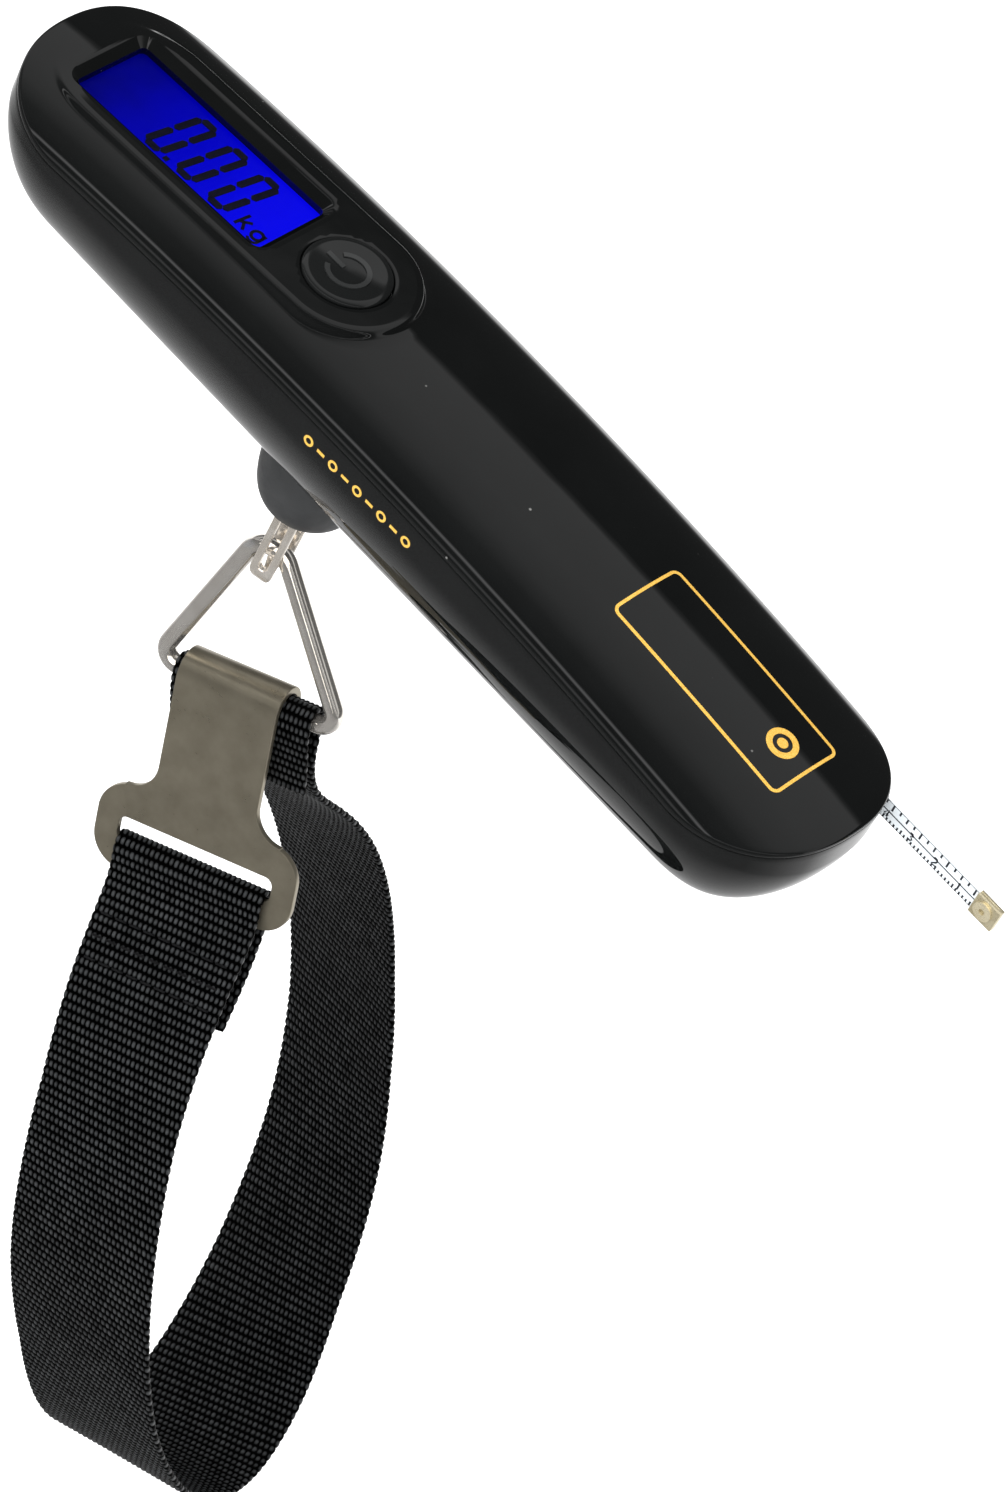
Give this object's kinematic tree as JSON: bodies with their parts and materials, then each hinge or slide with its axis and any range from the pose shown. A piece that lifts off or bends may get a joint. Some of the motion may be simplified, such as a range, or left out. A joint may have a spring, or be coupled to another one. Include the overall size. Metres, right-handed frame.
{
  "type": "digital luggage scale",
  "caption": "Handheld digital luggage scale: long arched housing with lit display and power key, swivelling ring, hook plate and webbing loop, and a pull-out tape measure.",
  "frame": {"origin": "on the hanging pin axis, level with the flat underside of the housing", "axes": "+X towards the tape end of the housing, +Z towards the display side, +Y towards the side the tape leaves from"},
  "size_m": [0.1928, 0.086, 0.2391],
  "materials": {
    "shell_gloss": "high-gloss black ABS with faint wear",
    "boss_satin": "satin dark grey moulding",
    "window_clear": "clear polished window",
    "lcd_face": "lit blue negative liquid-crystal face",
    "light_guide": "milky light guide",
    "button_gloss": "gloss black moulded key",
    "inner_plastic": "plain moulded black plastic",
    "board_green": "green solder mask",
    "chip_black": "black epoxy",
    "elastomer": "banded conductive rubber",
    "cell_wrap": "printed foil sleeve",
    "spring_steel": "nickel-plated spring steel",
    "aluminium_bar": "milled and anodised",
    "gauge_film": "amber film",
    "zinc_steel": "zinc-plated steel",
    "polished_nickel": "polished nickel plate",
    "satin_nickel": "warm satin nickel plate",
    "webbing_black": "woven black nylon webbing",
    "tape_white": "white painted steel tape",
    "tab_brass": "worn nickel over brass",
    "cable_grey": "grey sheath"
  },
  "bodies": {
    "housing": {"top_shell": "shell_gloss", "bottom_shell": "shell_gloss", "window_lens": "window_clear", "lcd_panel": "lcd_face", "backlight_guide": "light_guide", "display_frame": "inner_plastic", "zebra_strip": "elastomer", "main_board": "board_green", "board_components": "chip_black", "switch_body": "chip_black", "battery_cells": "cell_wrap", "contact_springs": "spring_steel", "contact_plates": "spring_steel", "battery_tray": "inner_plastic", "load_cell": "aluminium_bar", "load_cell_bracket": "zinc_steel", "anchor_screws": "zinc_steel", "strain_gauges": "gauge_film", "pin_washer": "zinc_steel", "signal_cable": "cable_grey", "boss_cup": "boss_satin", "cassette_base": "inner_plastic", "cassette_cover": "inner_plastic", "spool_axle": "zinc_steel", "tape_mouth": "inner_plastic", "case_screws": "zinc_steel"},
    "power_key": {"power_button": "button_gloss", "switch_plunger": "inner_plastic"},
    "battery_lid": {"battery_door": "shell_gloss"},
    "swivel": {"hanging_pin": "zinc_steel", "pin_nut": "zinc_steel", "eyelet": "polished_nickel"},
    "ring": {"triangle_ring": "polished_nickel"},
    "strap": {"hook_plate": "satin_nickel", "webbing": "webbing_black"},
    "tape": {"tape_blade": "tape_white", "tape_end_tab": "tab_brass", "tab_rivet": "tab_brass"},
    "spool": {"tape_spool": "inner_plastic", "tape_coil": "tape_white", "return_spring": "spring_steel"}
  },
  "joints": [
    {"name": "power_press", "type": "slide", "parent": "housing", "child": "power_key", "axis": [0.0785, 0, -0.9969], "range_m": [0, 0.0005], "stiffness_N_per_m": 600},
    {"name": "battery_lid_lift", "type": "slide", "parent": "housing", "child": "battery_lid", "axis": [0, 0, -1], "range_m": [0, 0.012]},
    {"name": "eyelet_swivel", "type": "hinge", "parent": "housing", "child": "swivel", "pos_m": [0, 0, 0], "axis": [0, 0, 1], "continuous": true},
    {"name": "ring_swing", "type": "hinge", "parent": "swivel", "child": "ring", "pos_m": [-0.0012, 0, -0.0263], "axis": [0.9207, 0.2227, 0.3206], "range_deg": [-30, 35]},
    {"name": "strap_swing", "type": "hinge", "parent": "ring", "child": "strap", "pos_m": [0.00821, -0.00278, -0.05139], "axis": [0.9207, 0.2227, 0.3206], "range_deg": [-45, 45]},
    {"name": "tape_pull", "type": "slide", "parent": "housing", "child": "tape", "axis": [1, 0, 0], "range_m": [-0.0175, 0.055]},
    {"name": "spool_turn", "type": "hinge", "parent": "housing", "child": "spool", "pos_m": [0.08, 0, 0], "axis": [0, 0, 1], "range_deg": [-280, 100]}
  ],
  "couplings": [
    {"joint": "spool_turn", "follows": "tape_pull", "rad_per_m": -86.957}
  ]
}
